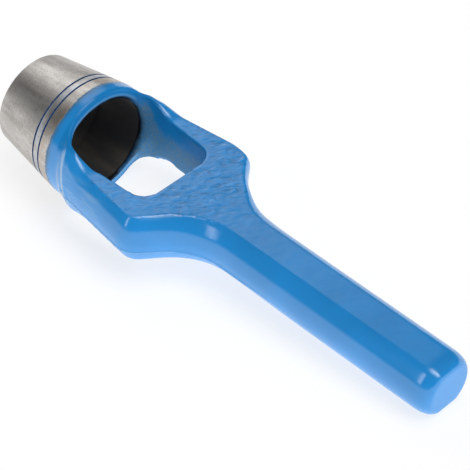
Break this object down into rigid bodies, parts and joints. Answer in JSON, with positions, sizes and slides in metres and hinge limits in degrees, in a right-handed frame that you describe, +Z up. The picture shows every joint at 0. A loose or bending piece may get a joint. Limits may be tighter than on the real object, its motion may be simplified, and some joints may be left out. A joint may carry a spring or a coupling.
{
  "type": "hollow punch",
  "caption": "Forged hollow punch with an open arch, a ground ring cutter with turned grooves, and a flat-sided shank, painted blue.",
  "frame": {"origin": "centre of the cutting edge, on the tool axis", "axes": "+Z is up from the bench that the tool lies on. The tool axis lies in the XZ plane and runs from the cutting edge towards +X, leaning down by about 4.6 degrees, because the tool rests on its collar and on the heel of its thinner shank."},
  "size_m": [0.1778, 0.0534, 0.0411],
  "materials": {
    "blue_paint": "gloss paint over a forged skin",
    "ground_steel": "turned and ground, with dark lacquer in the grooves and a black bore"
  },
  "bodies": {
    "root": {"forged_body": "blue_paint", "cutting_tube": "ground_steel"}
  },
  "joints": []
}
